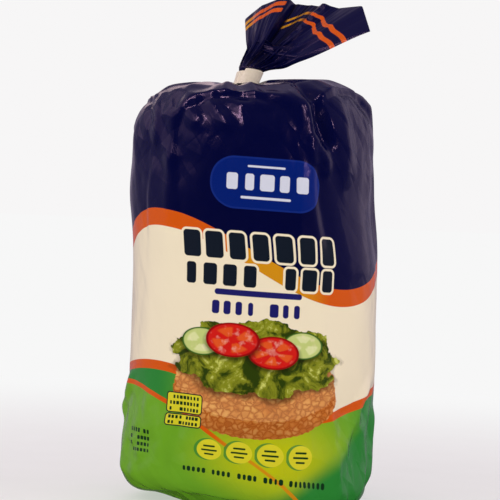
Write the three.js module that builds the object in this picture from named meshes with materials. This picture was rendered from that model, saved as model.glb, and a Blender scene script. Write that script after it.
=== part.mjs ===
// A film bag round a stack of puffed cakes, gathered at the top and closed
// with a flat tie. Millimetres, +Z up, the printed front faces -Y.
// Directions round the bag are azimuths: 0 front, +90 right, -90 left.
import * as THREE from 'three';

// Driving dimensions
const body = {
  radius: 50.2, // film drawn round the cakes
  footSpread: 0.7, // how far the loose foot stands out past that
  footTop: 46, // the film is tight on the cakes above this
  footCorner: 11, // rounding of the bottom edge
  wallTop: 140, // the shoulder starts here
  bulge: 0.8, bulgeHeight: 126, bulgeReach: 24, // the film stands out round the upper cakes
  lowerShift: 3, // the lower cakes sit this far to the right of the upper ones
  shiftFrom: 94,
  shiftTo: 128,
  footShift: -0.7, // and the loose foot this far back to the left
  flatRadius: 24, // the base is flat to here, and past it one corner is drawn up
  lift: 6.8, liftAzimuth: -34, liftWidth: 56,
};
const shoulder = {
  crestRadius: 16,
  crestHeight: 169.6,
  squareness: 2.9, // 2 is an ellipse, more is squarer
  lobeRise: 4.5, // the film stands higher right of the neck
  lobeAzimuth: 64,
  lobeWidth: 36,
  lobeCrest: 0.55, // and this share as high at the crest
  foldCrest: 0.35, // the folds stand out this much less at the crest
  foldUp: 0.7, // and lift it by this share
};
const neck = {
  x: -5.0, radius: 3.7, flare: 0.9, foot: 168.4, top: 176.2,
  leanRight: 0.33, leanBack: 0.22, // how far it leans for each millimetre up
  tilt: 0.05,
  ridge: 0.3, // height of the small pleats inside the tie
};
const tieBand = {
  bottom: 169.7, top: 175.1, thickness: 0.75, flare: 0.25, clearance: 0.32,
  lap: 0.6, // thickness of the second layer
  // the loose end laps over between two azimuths, with a slanting edge, and stands higher
  lapFrom: -38, lapSlant: 20, lapTo: 125, lapRise: 0.7,
};
const fan = {
  // the cut rim from its left to its right: share of the way across, then
  // right, back and up from the top of the neck
  rim: [
    [0, -2, 29, 22.8], [0.12, 5.5, 28, 28.8], [0.25, 11.5, 27, 31.2], [0.5, 24.5, 24, 31.1],
    [0.72, 36.5, 20, 28], [0.88, 45.8, 12, 28.8], [1, 48.8, 0, 18],
  ],
  droop: 2.9, // the lower edge hangs this much between the neck and the rim
  halfThickness: 1.1,
  pleats: 9, pleatDepth: 1.1,
  // two panels lie forward, with a pleated recess between them
  leftPanel: 2.0, recessFrom: 0.33, recess: -4.0, rightFrom: 0.55, rightPanel: 1.0, foldWidth: 0.04,
};
const finSeal = { width: 9, rise: 0.9, edge: 1.2 };
const gather = { pleats: 13, depth: 2.1 };
// Flat facets that the film lies in: rows of them at a height on the wall, or
// at an angle on the shoulder, with how many there are round the bag
const facets = {
  wall: [[7, 12], [19, 11], [35, 12], [110, 12], [127, 13]],
  shoulder: [[10, 13], [34, 12], [60, 11], [80, 9]],
  spread: 0.32, turn: 4.5, inset: 0.1, uneven: 0.45, round: 0.2, reach: 1.5,
};
const around = 96; // points on each ring

const radians = THREE.MathUtils.degToRad;
const { smoothstep, lerp, clamp } = THREE.MathUtils;
const bump = (x, centre, width) => Math.exp(-(((x - centre) / width) ** 2));
const wrap = (degrees) => ((degrees + 540) % 360) - 180;

// Creases of the film: azimuth and height of three points on each, how far it
// stands out (or in) and the width of its flank at both ends
const creases = [
  { from: [-25, 168], via: [-18, 158], to: [-9, 149], rise: 1.3, width: [4.5, 3] },
  { from: [-38, 164], via: [-34, 155], to: [-25, 152], rise: 1.0, width: [3.5, 3] },
  { from: [33, 172], via: [31, 157], to: [39, 143], rise: -3.6, width: [5, 3.5] },
  { from: [-14, 164], via: [6, 157], to: [34, 171], rise: 0.9, width: [3, 3] },
  { from: [52, 170], via: [47, 158], to: [50, 128], rise: 1.6, width: [8, 6] },
  { from: [26, 150], via: [29, 147], to: [34, 149], rise: 0.6, width: [2, 2] },
  { from: [27, 146], via: [29, 142], to: [30, 137], rise: 0.7, width: [2.2, 2] },
  { from: [31, 147], via: [39, 141], to: [35, 133], rise: 0.9, width: [2.5, 2] },
  { from: [-56, 155], via: [-49, 144], to: [-36, 135], rise: 0.9, width: [5, 4] },
  { from: [80, 168], via: [74, 150], to: [71, 120], rise: 0.6, width: [7, 5] },
  { from: [-92, 164], via: [-90, 158], to: [-88, 148], rise: 0.8, width: [4, 5] },
  { from: [-108, 169], via: [-80, 167], to: [-58, 162], rise: -2.2, width: [4, 4] },
  { from: [118, 169], via: [124, 155], to: [120, 130], rise: -2.6, width: [9, 6] },
  { from: [-120, 170], via: [-114, 155], to: [-118, 134], rise: -2.4, width: [8, 6] },
  { from: [-150, 168], via: [-146, 158], to: [-152, 140], rise: 1.3, width: [6, 4] },
  { from: [-68, 53], via: [-84, 43], to: [-93, 34], rise: 1.9, width: [4, 4.5] },
  { from: [-92, 26], via: [-95, 14], to: [-94, 3], rise: 0.5, width: [6, 6] },
  { from: [76, 54], via: [56, 38], to: [41, 11], rise: 1.6, width: [4, 5] },
  { from: [84, 49], via: [72, 43], to: [63, 37], rise: -1.0, width: [4, 4] },
  { from: [89, 42], via: [92, 24], to: [90, 7], rise: 1.9, width: [6, 6] },
  { from: [-141, 52], via: [-128, 34], to: [-132, 8], rise: 1.2, width: [6, 6] },
  { from: [150, 46], via: [132, 30], to: [136, 8], rise: 1.2, width: [6, 6] },
];
const creaseSteps = 12;

for (const crease of creases) {
  const curve = new THREE.QuadraticBezierCurve(
    ...[crease.from, crease.via, crease.to].map(([azimuth, height]) =>
      new THREE.Vector2(radians(azimuth) * body.radius, height)));
  crease.points = curve.getPoints(creaseSteps);
}

// A crease is a tent: straight flanks that meet in a slightly rounded ridge,
// fading out at both ends
const ridgeRound = 0.8;
const tent = (distance, flank) => {
  const level = 1 - (Math.hypot(distance, ridgeRound) - ridgeRound) / flank;
  return (level + Math.sqrt(level ** 2 + 0.02)) / 2;
};

function creaseRise(azimuth, height) {
  let rise = 0;
  for (const { points, rise: peak, width } of creases) {
    let best = { distance: Infinity, along: 0 };
    for (let i = 0; i < creaseSteps; i++) {
      const [a, b] = [points[i], points[i + 1]];
      const across = radians(wrap(azimuth - THREE.MathUtils.radToDeg(a.x / body.radius))) * body.radius;
      const dx = b.x - a.x;
      const dy = b.y - a.y;
      const t = clamp((across * dx + (height - a.y) * dy) / (dx * dx + dy * dy), 0, 1);
      const distance = Math.hypot(across - t * dx, height - a.y - t * dy);
      if (distance < best.distance) best = { distance, along: (i + t) / creaseSteps };
    }
    const flank = lerp(width[0], width[1], best.along);
    const ends = smoothstep(best.along, -0.05, 0.25) * (1 - smoothstep(best.along, 0.8, 1.05));
    rise += peak * ends * tent(best.distance, flank);
  }
  return rise;
}

// Uneven pleats with narrow ridges and broad troughs, 0 to 1, and their middle
const pleatMiddle = 0.4;
function pleat(azimuth, count) {
  const a = radians(azimuth);
  const turn = (count * a) / (2 * Math.PI) + 0.34 * Math.sin(2 * a + 1.3) + 0.22 * Math.sin(5 * a + 0.4);
  const share = turn - Math.floor(turn);
  return (1 - Math.abs(2 * share - 1)) ** 1.5;
}

function finRise(azimuth) {
  const across = radians(wrap(azimuth - 180)) * body.radius;
  return finSeal.rise * smoothstep(across, 0, finSeal.edge)
    * (1 - smoothstep(across, finSeal.width - finSeal.edge, finSeal.width));
}

const lobe = (azimuth) =>
  shoulder.lobeRise * bump(wrap(azimuth - shoulder.lobeAzimuth), 0, shoulder.lobeWidth);
const shiftAt = (height) => body.lowerShift * (1 - smoothstep(height, body.shiftFrom, body.shiftTo))
  + body.footShift * (1 - smoothstep(height, body.footTop * 0.6, body.footTop));

function onRing(azimuth, radius, height, centreX = 0) {
  const a = radians(azimuth);
  return new THREE.Vector3(centreX + radius * Math.sin(a), -radius * Math.cos(a), height);
}

// The profile without folds: radius, height, and how much it faces out and up
function plainProfile(zone, level) {
  if (zone === 'wall') {
    const drop = Math.max(0, body.footCorner - level) / body.footCorner;
    const out = Math.sqrt(Math.max(0, 1 - drop ** 2));
    return { radius: body.radius - body.footCorner * (1 - out), height: level, out, up: -drop };
  }
  const power = 2 / shoulder.squareness;
  const inward = Math.max(0, Math.cos(radians(level))) ** power;
  const upward = Math.sin(radians(level)) ** power;
  const across = body.radius - shoulder.crestRadius;
  const tall = shoulder.crestHeight - body.wallTop;
  const out = inward ** (shoulder.squareness - 1) / across;
  const up = upward ** (shoulder.squareness - 1) / tall;
  const size = Math.hypot(out, up);
  return {
    radius: shoulder.crestRadius + across * inward, height: body.wallTop + tall * upward,
    inward, upward, out: out / size, up: up / size,
  };
}

// An uneven number from 0 to 1, the same each time
function chance(first, second) {
  const value = Math.sin(first * 12.9898 + second * 78.233) * 43758.5453;
  return value - Math.floor(value);
}

// The planes of the facets, each turned and set in or out a little
const planes = [];
for (const zone of ['wall', 'shoulder']) {
  facets[zone].forEach(([level, count], row) => {
    for (let i = 0; i < count; i++) {
      const draws = [0, 1, 2, 3].map((k) => 2 * chance(planes.length + 1, k) - 1);
      const azimuth = (i + 0.5 * (row % 2) + facets.spread * draws[0]) * 360 / count;
      const { radius, height, out, up } = plainProfile(zone, level);
      const pitch = Math.atan2(up, out) + radians(facets.turn * draws[1]);
      const normal = onRing(azimuth + facets.turn * draws[2], Math.cos(pitch), Math.sin(pitch));
      const offset = onRing(azimuth, radius, height).dot(normal) - facets.inset + facets.uneven * draws[3];
      planes.push({ normal, offset });
    }
  });
}

// How far the facets stand out of the plain profile: the nearest plane, with
// the edges between planes a little rounded
function facetRise(azimuth, { radius, height, out, up }) {
  const point = onRing(azimuth, radius, height);
  const facing = onRing(azimuth, out, up);
  let total = 0;
  for (const { normal, offset } of planes) {
    const along = facing.dot(normal);
    if (along > 0.6) total += Math.exp(-Math.min((offset - point.dot(normal)) / along, 9) / facets.round);
  }
  const rise = clamp(-facets.round * Math.log(total), -facets.reach, facets.reach);
  return rise * (1 - 0.8 * smoothstep(height, 38, 56) * (1 - smoothstep(height, 96, 118)));
}

// How far the drawn-up corner of the foot stands off the floor
const liftAt = (azimuth, radius, height) => body.lift
  * bump(wrap(azimuth - body.liftAzimuth), 0, body.liftWidth)
  * smoothstep(radius, body.flatRadius, body.radius - body.footCorner) * (1 - smoothstep(height, 3, 32));

const bulgeAt = (height) => body.bulge * bump(height, body.bulgeHeight, body.bulgeReach);

// Slow waves all round the film: how far each stands out, how many there are
// and how fast it turns with the height
const waves = [{ rise: 0.35, count: 4, turn: 1 / 23 }, { rise: 0.25, count: 7, turn: -1 / 17 }];
const ripple = (azimuth, height) => waves.reduce(
  (sum, { rise, count, turn }) => sum + rise * Math.sin(radians(count * azimuth) + height * turn), 0);

// Foot and wall: from the flat bottom's rim up to the shoulder
function wallPoint(azimuth, height) {
  const plain = plainProfile('wall', height);
  const loose = body.footSpread * (1 - smoothstep(height, body.footTop * 0.5, body.footTop));
  const settle = smoothstep(height, 0, body.footCorner);
  const rise = settle * facetRise(azimuth, plain);
  const creased = creaseRise(azimuth, height) + finRise(azimuth) + ripple(azimuth, height);
  const folds = bulgeAt(height) + settle * creased;
  return onRing(
    azimuth,
    plain.radius + loose + folds + rise * plain.out,
    height + rise * plain.up + liftAt(azimuth, plain.radius, height),
    shiftAt(height),
  );
}

// Shoulder: a squarish quarter round from the wall to the crest, by angle
function shoulderPoint(azimuth, angle) {
  const plain = plainProfile('shoulder', angle);
  const { inward, upward } = plain;
  const height = plain.height + lobe(azimuth) * upward * (shoulder.lobeCrest + inward);
  const rise = facetRise(azimuth, plain);
  const folds = creaseRise(azimuth, height) + finRise(azimuth) * inward
    + gather.depth * (pleat(azimuth, gather.pleats) - pleatMiddle) * smoothstep(upward, 0.6, 1);
  const out = bulgeAt(plain.height) + (folds + ripple(azimuth, height)) * lerp(shoulder.foldCrest, 1, inward);
  return onRing(
    azimuth,
    plain.radius + out + rise * plain.out,
    height + folds * upward * shoulder.foldUp + rise * plain.up,
    neck.x * (1 - inward),
  );
}

// The neck leans to the right and back
const neckCentre = (height) => new THREE.Vector3(
  neck.x + neck.leanRight * (height - neck.foot), neck.leanBack * (height - neck.foot), height);

function neckRing(azimuth, radius, height) {
  const ring = onRing(azimuth, radius, 0);
  ring.z = -neck.tilt * ring.x - neck.leanBack * ring.y;
  return ring.add(neckCentre(height));
}

// Neck: straight inside the tie, opening out into the fan's pleats above it
function neckPoint(azimuth, height) {
  const open = smoothstep(height, tieBand.top, neck.top);
  const ridge = neck.ridge * (pleat(azimuth, gather.pleats) - pleatMiddle) * (1 - open);
  return neckRing(azimuth, neck.radius + neck.flare * open + ridge, height);
}

// Funnel: from the crest in and down to the foot of the neck
function funnelPoint(azimuth, share) {
  const crest = shoulderPoint(azimuth, 90);
  const foot = neckPoint(azimuth, neck.foot);
  const point = crest.clone().lerp(foot, share);
  point.z = lerp(crest.z, foot.z, share ** 1.6);
  return point;
}

// Middle surface of the fan: across runs from its left to its right side,
// out from the neck to the cut rim
function fanMiddle(across, out) {
  const next = Math.max(1, fan.rim.findIndex(([share]) => share >= across));
  const [a, b] = [fan.rim[next - 1], fan.rim[next]];
  const [right, back, up] = [1, 2, 3].map((i) => lerp(a[i], b[i], (across - a[0]) / (b[0] - a[0])));
  const droop = fan.droop * across ** 3 * smoothstep(out, 0, 0.3) * (1 - smoothstep(out, 0.45, 1.02));
  return new THREE.Vector3(right * out, back * out ** 1.25, up * out - droop);
}

// How far forward the film lies: two panels, and a pleated recess between them
function fanFold(across, out) {
  const down = smoothstep(across, fan.recessFrom, fan.recessFrom + fan.foldWidth);
  const up = smoothstep(across, fan.rightFrom, fan.rightFrom + fan.foldWidth);
  const panel = fan.leftPanel + (fan.recess - fan.leftPanel) * down + (fan.rightPanel - fan.recess) * up;
  const wave = fan.pleats * across ** 0.85 + 0.3 * Math.sin(7 * across + 1) + 0.15 * Math.sin(19 * across);
  const ridge = 2 * Math.abs(2 * (wave - Math.floor(wave)) - 1) - 1;
  const held = smoothstep(out, 0, 0.14) * (1 - (1 - 0.6 * down * (1 - up)) * smoothstep(out, 0.25, 0.8));
  return panel * smoothstep(out, 0.02, 0.6) + fan.pleatDepth * ridge * held;
}

function fanPoint(azimuth, out) {
  const turn = radians(azimuth);
  const even = Math.abs(wrap(azimuth + 90)) / 180;
  const across = clamp(lerp((1 + Math.sin(turn)) / 2, even, smoothstep(out, 0, 0.3)), 0, 1);
  const step = 0.01;
  const reach = Math.max(out, 0.2);
  const sideways = fanMiddle(Math.min(1, across + step), reach)
    .sub(fanMiddle(Math.max(0, across - step), reach));
  const outward = fanMiddle(across, Math.min(1, out + step))
    .sub(fanMiddle(across, Math.max(0, out - step)));
  const normal = new THREE.Vector3(0, -1, 0)
    .lerp(sideways.cross(outward).normalize(), smoothstep(out, 0, 0.25)).normalize();
  const mouth = neck.radius + neck.flare;
  const thick = lerp(mouth * 0.7, fan.halfThickness, smoothstep(out, 0, 0.2));
  const side = Math.sign(Math.cos(turn)) * Math.abs(Math.cos(turn)) ** lerp(1, 0.35, smoothstep(out, 0, 0.4));
  const ring = neckRing(azimuth, mouth, neck.top).sub(neckCentre(neck.top));
  const flat = normal.clone().multiplyScalar(thick * side);
  flat.x += mouth * Math.sin(turn) * (1 - smoothstep(out, 0, 0.45));
  const forward = new THREE.Vector3(normal.x, normal.y, 0.4 * normal.z);
  return neckCentre(neck.top)
    .add(fanMiddle(across, out))
    .add(ring.lerp(flat, smoothstep(out, 0, 0.16)))
    .addScaledVector(forward, fanFold(across, out));
}

function* steps(count, from = 0, to = 1, last = true) {
  for (let i = 0; i < count + (last ? 1 : 0); i++) yield lerp(from, to, i / count);
}

// Each ring is a function of the azimuth, from the bottom's rim to the fan's
function bagRings() {
  const rings = [(azimuth) => onRing(azimuth, body.flatRadius, 0, shiftAt(0))];
  for (const share of steps(4, 0, 1, false)) {
    const height = body.footCorner * (1 - Math.cos(share * Math.PI / 2));
    rings.push((azimuth) => wallPoint(azimuth, height));
  }
  for (const height of steps(20, body.footCorner, body.wallTop, false)) {
    rings.push((azimuth) => wallPoint(azimuth, height));
  }
  for (const angle of steps(13, 0, 90, false)) rings.push((azimuth) => shoulderPoint(azimuth, angle));
  for (const share of steps(5, 0, 1, false)) rings.push((azimuth) => funnelPoint(azimuth, share));
  for (const height of [neck.foot, tieBand.top]) rings.push((azimuth) => neckPoint(azimuth, height));
  for (const share of steps(11)) rings.push((azimuth) => fanPoint(azimuth, share ** 1.15));
  return rings;
}

// Rings joined into one closed body: a flat bottom, and a strip of rungs
// between the front and back halves of the last ring
function bagGeometry() {
  const rings = bagRings();
  const positions = [];
  for (const ring of rings) {
    for (let i = 0; i < around; i++) positions.push(...ring(-90 + (i * 360) / around).toArray());
  }
  positions.push(shiftAt(0), 0, 0);
  const centre = rings.length * around;
  const index = [];
  const at = (ring, i) => ring * around + (i % around);
  for (let i = 0; i < around; i++) {
    index.push(centre, at(0, i + 1), at(0, i));
    for (let ring = 0; ring + 1 < rings.length; ring++) {
      index.push(at(ring, i), at(ring, i + 1), at(ring + 1, i + 1));
      index.push(at(ring, i), at(ring + 1, i + 1), at(ring + 1, i));
    }
  }
  const rim = rings.length - 1;
  for (let i = 0; i < around / 2; i++) {
    const [a, b, c, d] = [at(rim, i), at(rim, i + 1), at(rim, around - i - 1), at(rim, around - i)];
    if (i + 1 < around / 2) index.push(a, b, c);
    if (i > 0) index.push(a, c, d);
  }
  const geometry = new THREE.BufferGeometry();
  geometry.setAttribute('position', new THREE.Float32BufferAttribute(positions, 3));
  geometry.setIndex(index);
  geometry.computeVertexNormals();
  return geometry;
}

// The tie: a ring with a second layer where its slanting end laps over
function tieGeometry() {
  const inner = neck.radius + neck.ridge * (1 - pleatMiddle) + tieBand.clearance;
  const outer = inner + tieBand.thickness;
  const levels = 8;
  const sides = 60;
  const lapAt = (azimuth, share) => {
    const start = tieBand.lapFrom + tieBand.lapSlant * share;
    const end = tieBand.lapTo;
    return smoothstep(azimuth, start - 5, start + 5) * (1 - smoothstep(azimuth, end - 12, end + 12));
  };
  const positions = [];
  const index = [];
  // profile runs up the outside, over the top and down the inside
  const profile = [
    ...[...steps(levels)].map((share) => ({ share, outside: true })),
    ...[...steps(2, 1, 0)].map((share) => ({ share, outside: false })),
  ];
  for (let i = 0; i < sides; i++) {
    const azimuth = -180 + (i * 360) / sides;
    for (const { share, outside } of profile) {
      const radius = (outside ? outer + tieBand.lap * lapAt(azimuth, share) : inner)
        + tieBand.flare * share;
      const top = tieBand.top + tieBand.lapRise * lapAt(azimuth, share);
      positions.push(...neckRing(azimuth, radius, lerp(tieBand.bottom, top, share)).toArray());
    }
  }
  const count = profile.length;
  for (let i = 0; i < sides; i++) {
    for (let j = 0; j < count; j++) {
      const [a, b] = [i * count + j, ((i + 1) % sides) * count + j];
      const [c, d] = [((i + 1) % sides) * count + ((j + 1) % count), i * count + ((j + 1) % count)];
      index.push(a, b, c, a, c, d);
    }
  }
  const geometry = new THREE.BufferGeometry();
  geometry.setAttribute('position', new THREE.Float32BufferAttribute(positions, 3));
  geometry.setIndex(index);
  geometry.computeVertexNormals();
  return geometry;
}

const bag = new THREE.Mesh(bagGeometry(), new THREE.MeshStandardMaterial({
  name: 'printed film', color: 0x1c2450, roughness: 0.3, metalness: 0,
}));
bag.name = 'bag';

const tie = new THREE.Mesh(tieGeometry(), new THREE.MeshStandardMaterial({
  name: 'cream tie', color: 0xe5cec2, roughness: 0.6, metalness: 0,
}));
tie.name = 'tie';

// The pair stands with the middle of its box over the origin
const pack = new THREE.Group();
pack.name = 'tied bag';
pack.add(bag, tie);
const extent = new THREE.Box3().setFromObject(pack);
const middle = extent.getCenter(new THREE.Vector3());
for (const mesh of pack.children) mesh.geometry.translate(-middle.x, -middle.y, -extent.min.z);

export default pack;
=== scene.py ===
import math

import bpy
import numpy as np
from mathutils import Euler, Matrix, Vector


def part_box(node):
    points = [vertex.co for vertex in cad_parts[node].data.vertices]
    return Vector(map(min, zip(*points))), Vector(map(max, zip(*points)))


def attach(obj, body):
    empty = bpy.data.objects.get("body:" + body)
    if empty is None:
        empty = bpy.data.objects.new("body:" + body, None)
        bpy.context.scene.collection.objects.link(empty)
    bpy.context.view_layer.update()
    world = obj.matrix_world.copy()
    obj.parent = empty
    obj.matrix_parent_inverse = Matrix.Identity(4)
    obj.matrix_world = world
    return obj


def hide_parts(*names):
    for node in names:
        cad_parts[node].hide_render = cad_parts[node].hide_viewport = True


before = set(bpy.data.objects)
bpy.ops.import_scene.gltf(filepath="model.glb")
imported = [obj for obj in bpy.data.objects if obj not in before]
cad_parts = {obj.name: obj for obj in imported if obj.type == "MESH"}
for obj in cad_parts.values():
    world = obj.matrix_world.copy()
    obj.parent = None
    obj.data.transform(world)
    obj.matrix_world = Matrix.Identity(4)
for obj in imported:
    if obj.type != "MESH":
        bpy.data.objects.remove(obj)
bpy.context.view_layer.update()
mm = 0.001  # the sizes below are millimetres, the scene is in metres


# Small helpers

def smooth(x, low, high):
    t = np.clip((x - low) / (high - low), 0, 1)
    return t * t * (3 - 2 * t)


def window(x, rise, fall):  # 1 from the end of the rise to the start of the fall
    return smooth(x, *rise) * (1 - smooth(x, *fall))


def bump(x, centre, width):
    return np.exp(-(((x - centre) / width) ** 2))


def lerp(a, b, t):
    return a + (b - a) * t


def wrap(degrees):
    return (degrees + 540) % 360 - 180


def linear(red, green, blue):  # display colour, 0 to 255, as scene light
    def one(value):
        value /= 255
        return value / 12.92 if value <= 0.04045 else ((value + 0.055) / 1.055) ** 2.4
    return (one(red), one(green), one(blue), 1)


def nothingSelected():
    if bpy.context.object and bpy.context.object.mode != "OBJECT":
        bpy.ops.object.mode_set(mode="OBJECT")
    bpy.ops.object.select_all(action="DESELECT")


def closeSeam():  # merges a rolled sheet's two side edges and turns its faces outwards
    bpy.ops.object.mode_set(mode="EDIT")
    bpy.ops.mesh.select_all(action="SELECT")
    bpy.ops.mesh.remove_doubles(threshold=1e-6)
    bpy.ops.mesh.normals_make_consistent(inside=False)
    bpy.ops.object.mode_set(mode="OBJECT")


# Camera

cameraView = {
    "distance": 900, "height": 119, "side": -2.0, "aim": 103,
    "roll": 2.34, "lens": 158,
}


def makeCamera():
    view = cameraView
    data = bpy.data.cameras.new("camera")
    data.lens = view["lens"]
    data.sensor_width = 36
    camera = bpy.data.objects.new("camera", data)
    bpy.context.scene.collection.objects.link(camera)
    down = math.atan((view["height"] - view["aim"]) / view["distance"])
    level = Euler((math.pi / 2 - down, 0, 0)).to_matrix()
    camera.rotation_euler = (level @ Matrix.Rotation(math.radians(view["roll"]), 3, "Z")).to_euler()
    camera.location = (view["side"] * mm, -view["distance"] * mm, view["height"] * mm)
    bpy.context.scene.camera = camera
    print("camera:", view["distance"], "mm away, lens", view["lens"], "mm")


# Shape of the film, in millimetres. Azimuth 0 is the printed front, +90 the right side.

body = {
    "radius": 50.2, "footSpread": 0.7, "footTop": 46, "footCorner": 11, "wallTop": 140,
    "bulge": 0.8, "bulgeHeight": 126, "bulgeReach": 24,
    "lowerShift": 3, "shiftFrom": 94, "shiftTo": 128, "footShift": -0.7,
    "flatRadius": 24, "lift": 6.8, "liftAzimuth": -34, "liftWidth": 56, "liftFade": (3, 32),
}
shoulder = {
    "crestRadius": 16, "crestHeight": 169.6, "squareness": 2.9,
    "lobeRise": 4.5, "lobeAzimuth": 64, "lobeWidth": 36, "lobeCrest": 0.55,
    "foldCrest": 0.35, "foldUp": 0.7,
}
neck = {
    "x": -5.0, "radius": 3.7, "flare": 0.9, "foot": 168.4, "top": 176.2, "tieTop": 175.1,
    "leanRight": 0.33, "leanBack": 0.22, "tilt": 0.05, "ridge": 0.3, "funnelDip": 1.6,
}
# The fan's cut rim from its left to its right: share of the way across, then right,
# back and up from the top of the neck
fan = {
    "rim": ((0, -2, 29, 22.8), (0.12, 5.5, 28, 28.8), (0.25, 11.5, 27, 31.2), (0.5, 24.5, 24, 31.1),
            (0.72, 36.5, 20, 28), (0.88, 45.8, 12, 28.8), (1, 48.8, 0, 18)),
    "backCurve": 1.25, "droop": 2.9, "droopAt": ((0, 0.3), (0.45, 1.02)),
    "halfThickness": 1.0, "filmThickness": 0.16, "length": 50, "pleats": 9, "pleatDepth": 1.1,
    # panels: where each starts across the fan and how far forward it lies
    "leftPanel": 2.0, "recessFrom": 0.33, "recess": -4.0,
    "rightFrom": 0.55, "rightPanel": 1.0, "foldWidth": 0.04,
    # crumpled strip beside the right panel: its middle and width across, and where it starts
    "crumpleAt": 0.61, "crumpleWidth": 0.03, "crumpleFrom": (0.5, 0.65),
}
finSeal = {"width": 9, "rise": 0.9, "edge": 1.2}
gather = {"pleats": 13, "depth": 2.1, "middle": 0.4, "from": 0.6}
ripples = ((4, 23, 0.35), (7, -17, 0.25))  # waves round the bag, millimetres for each turn up, rise

# Flat facets that the film lies in: rows of them at a height on the wall, or at an
# angle on the shoulder, with how many there are round the bag
facets = {
    "wall": ((7, 12), (19, 11), (35, 12), (110, 12), (127, 13)),
    "shoulder": ((10, 13), (34, 12), (60, 11), (80, 9)),
    "spread": 0.32, "turn": 4.5, "inset": 0.1, "uneven": 0.45, "round": 0.2, "reach": 1.5,
    # the wall's middle is tight on the cakes: how much flatter, and between which heights
    "flatter": 0.8, "flatterAt": ((38, 56), (96, 118)),
}

# Creases: azimuth and height of three points on each, how far it stands out
# and the width of its flank at both ends
creases = [
    ((-25, 168), (-18, 158), (-9, 149), 1.3, (4.5, 3)),
    ((-38, 164), (-34, 155), (-25, 152), 1.0, (3.5, 3)),
    ((33, 172), (31, 157), (39, 143), -3.6, (5, 3.5)),
    ((-14, 164), (6, 157), (34, 171), 0.9, (3, 3)),
    ((52, 170), (47, 158), (50, 128), 1.6, (8, 6)),
    ((26, 150), (29, 147), (34, 149), 0.6, (2, 2)),
    ((27, 146), (29, 142), (30, 137), 0.7, (2.2, 2)),
    ((31, 147), (39, 141), (35, 133), 0.9, (2.5, 2)),
    ((-56, 155), (-49, 144), (-36, 135), 0.9, (5, 4)),
    ((80, 168), (74, 150), (71, 120), 0.6, (7, 5)),
    ((-92, 164), (-90, 158), (-88, 148), 0.8, (4, 5)),
    ((-108, 169), (-80, 167), (-58, 162), -2.2, (4, 4)),
    ((118, 169), (124, 155), (120, 130), -2.6, (9, 6)),
    ((-120, 170), (-114, 155), (-118, 134), -2.4, (8, 6)),
    ((-150, 168), (-146, 158), (-152, 140), 1.3, (6, 4)),
    ((-68, 53), (-84, 43), (-93, 34), 1.9, (4, 4.5)),
    ((-92, 26), (-95, 14), (-94, 3), 0.5, (6, 6)),
    ((76, 54), (56, 38), (41, 11), 1.6, (4, 5)),
    ((84, 49), (72, 43), (63, 37), -1.0, (4, 4)),
    ((89, 42), (92, 24), (90, 7), 1.9, (6, 6)),
    ((-141, 52), (-128, 34), (-132, 8), 1.2, (6, 6)),
    ((150, 46), (132, 30), (136, 8), 1.2, (6, 6)),
]
creaseShape = {"steps": 12, "round": 0.8, "ends": ((-0.05, 0.25), (0.8, 1.05))}


def tent(distance, flank):  # 1 on the ridge, 0 past its flank, both turns a little rounded
    ridge = creaseShape["round"]
    level = 1 - (np.sqrt(distance ** 2 + ridge ** 2) - ridge) / flank
    return (level + np.sqrt(level ** 2 + 0.02)) / 2


def creaseRise(azimuth, height):  # tents with straight flanks, fading out at both ends
    total = np.zeros(np.broadcast(azimuth, height).shape)
    steps = creaseShape["steps"]
    t = np.linspace(0, 1, steps + 1)
    for start, via, end, rise, width in creases:
        ends = [np.array((math.radians(p[0]) * body["radius"], p[1])) for p in (start, via, end)]
        line = [(1 - k) ** 2 * ends[0] + 2 * k * (1 - k) * ends[1] + k * k * ends[2] for k in t]
        nearest = np.full(total.shape, 1e9)
        along = np.zeros(total.shape)
        for i in range(steps):
            a, b = line[i], line[i + 1]
            across = np.radians(wrap(azimuth - math.degrees(a[0] / body["radius"]))) * body["radius"]
            d = b - a
            k = np.clip((across * d[0] + (height - a[1]) * d[1]) / (d @ d), 0, 1)
            distance = np.hypot(across - k * d[0], height - a[1] - k * d[1])
            closer = distance < nearest
            nearest = np.where(closer, distance, nearest)
            along = np.where(closer, (i + k) / steps, along)
        flank = lerp(width[0], width[1], along)
        total += rise * window(along, *creaseShape["ends"]) * tent(nearest, flank)
    return total


def pleat(azimuth):  # uneven pleats with narrow ridges and broad troughs
    a = np.radians(azimuth)
    turn = gather["pleats"] * a / (2 * np.pi) + 0.34 * np.sin(2 * a + 1.3) + 0.22 * np.sin(5 * a + 0.4)
    return (1 - np.abs(2 * (turn - np.floor(turn)) - 1)) ** 1.5 - gather["middle"]


def finRise(azimuth):
    across = np.radians(wrap(azimuth - 180)) * body["radius"]
    width, edge = finSeal["width"], finSeal["edge"]
    return finSeal["rise"] * window(across, (0, edge), (width - edge, width))


def shiftAt(height):
    upper = body["lowerShift"] * (1 - smooth(height, body["shiftFrom"], body["shiftTo"]))
    return upper + body["footShift"] * (1 - smooth(height, body["footTop"] * 0.6, body["footTop"]))


def ripple(azimuth, height):
    a = np.radians(azimuth)
    return sum(rise * np.sin(count * a + height / pitch) for count, pitch, rise in ripples)


def onRing(azimuth, radius, height, x=0):
    a = np.radians(azimuth)
    return np.stack(np.broadcast_arrays(x + radius * np.sin(a), -radius * np.cos(a), height), axis=-1)


def unevenness(first, second):  # uneven numbers from 0 to 1, the same each time
    value = np.sin(first * 12.9898 + second * 78.233) * 43758.5453
    return value - np.floor(value)


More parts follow.
